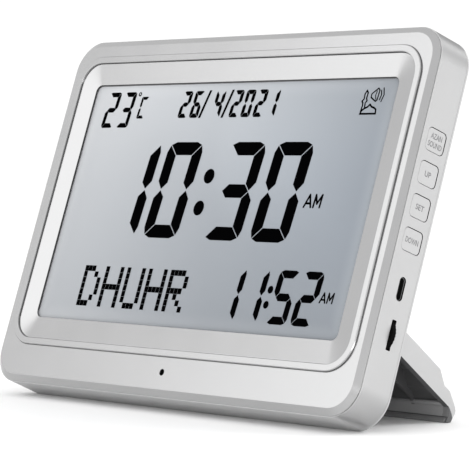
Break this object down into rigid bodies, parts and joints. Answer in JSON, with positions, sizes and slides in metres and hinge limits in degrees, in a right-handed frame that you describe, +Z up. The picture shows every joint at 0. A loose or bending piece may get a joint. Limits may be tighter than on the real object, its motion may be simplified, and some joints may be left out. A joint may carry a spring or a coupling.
{
  "type": "prayer time alarm clock",
  "caption": "Leaning desk clock with a wide framed liquid-crystal display, side push buttons, a USB-C inlet, a volume thumbwheel and a rear stand that folds flat.",
  "frame": {"origin": "middle of the whole object's box on the table it stands on", "axes": "+X to the right seen from the front, along the hinge of the stand; +Y from the front to the back, the display faces -Y and leans back; +Z up"},
  "size_m": [0.2134, 0.078, 0.1501],
  "materials": {
    "case_silver": "satin silver paint on moulded plastic",
    "screw_steel": "plain",
    "pin_steel": "ground",
    "display_film": "low gloss film",
    "display_glass": "clear",
    "clear_plastic": "clear moulded",
    "white_plastic": "white moulded",
    "led_yellow": "clear resin over phosphor",
    "pink_rubber": "striped silicone",
    "board_green": "solder mask",
    "chip_black": "moulded resin",
    "tin_steel": "tin plated",
    "capacitor_blue": "shrink sleeve",
    "contact_brass": "plain",
    "dark_window": "smoked",
    "bead_brown": "dipped epoxy",
    "cable_white": "ribbon",
    "wheel_black": "moulded",
    "dark_plastic": "moulded",
    "cell_sleeve": "printed sleeve",
    "spring_steel": "nickel plated",
    "magnet_steel": "zinc plated",
    "cone_paper": "coated paper",
    "gasket_rubber": "foam",
    "foot_rubber": "matt",
    "button_silver": "satin silver paint on moulded plastic",
    "plunger_black": "moulded"
  },
  "bodies": {
    "case": {"front_cover": "case_silver", "display_bezel": "case_silver", "side_frame": "case_silver", "back_cover": "case_silver", "case_screws": "screw_steel", "front_polarizer": "display_film", "front_glass": "display_glass", "rear_glass": "display_glass", "rear_polarizer": "display_film", "light_guide": "clear_plastic", "reflector_sheet": "white_plastic", "backlight_leds": "led_yellow", "contact_strip": "pink_rubber", "display_frame": "white_plastic", "display_screws": "screw_steel", "main_board": "board_green", "controller_chip": "chip_black", "sound_chip": "chip_black", "amplifier_chip": "chip_black", "crystal": "tin_steel", "capacitors": "capacitor_blue", "backup_cell": "tin_steel", "backup_cell_clip": "contact_brass", "light_sensor": "led_yellow", "sensor_window": "dark_window", "temperature_sensor": "bead_brown", "board_screws": "screw_steel", "key_board": "board_green", "key_switches": "chip_black", "key_cable": "cable_white", "usb_shell": "tin_steel", "usb_tongue": "chip_black", "volume_control": "chip_black", "wheel_clip": "screw_steel", "battery_tray": "dark_plastic", "battery_cells": "cell_sleeve", "battery_springs": "spring_steel", "battery_plates": "spring_steel", "speaker_frame": "dark_plastic", "speaker_magnet": "magnet_steel", "speaker_cone": "cone_paper", "speaker_gasket": "gasket_rubber", "hinge_pins": "pin_steel"},
    "button_1": {"button_1": "button_silver", "plunger_1": "plunger_black"},
    "button_2": {"button_2": "button_silver", "plunger_2": "plunger_black"},
    "button_3": {"button_3": "button_silver", "plunger_3": "plunger_black"},
    "button_4": {"button_4": "button_silver", "plunger_4": "plunger_black"},
    "volume_wheel": {"volume_wheel": "wheel_black"},
    "battery_door": {"battery_door": "case_silver"},
    "stand": {"stand": "case_silver", "stand_strip": "foot_rubber"}
  },
  "joints": [
    {"name": "button_1_press", "type": "slide", "parent": "case", "child": "button_1", "axis": [-1, 0, 0], "range_m": [0, 0.0006], "stiffness_N_per_m": 1500, "springref_m": -0.0004},
    {"name": "button_2_press", "type": "slide", "parent": "case", "child": "button_2", "axis": [-1, 0, 0], "range_m": [0, 0.0006], "stiffness_N_per_m": 1500, "springref_m": -0.0004},
    {"name": "button_3_press", "type": "slide", "parent": "case", "child": "button_3", "axis": [-1, 0, 0], "range_m": [0, 0.0006], "stiffness_N_per_m": 1500, "springref_m": -0.0004},
    {"name": "button_4_press", "type": "slide", "parent": "case", "child": "button_4", "axis": [-1, 0, 0], "range_m": [0, 0.0006], "stiffness_N_per_m": 1500, "springref_m": -0.0004},
    {"name": "volume_turn", "type": "hinge", "parent": "case", "child": "volume_wheel", "pos_m": [0.09911, -0.01871, 0.0359], "axis": [0, 0.943, -0.3327], "range_deg": [-140, 140]},
    {"name": "stand_fold", "type": "hinge", "parent": "case", "child": "stand", "pos_m": [-0.00071, -0.00624, 0.03315], "axis": [1, 0, 0], "range_deg": [0, 108.63]},
    {"name": "door_off", "type": "slide", "parent": "case", "child": "battery_door", "axis": [0, 0.943, -0.3327], "range_m": [0, 0.03]}
  ]
}
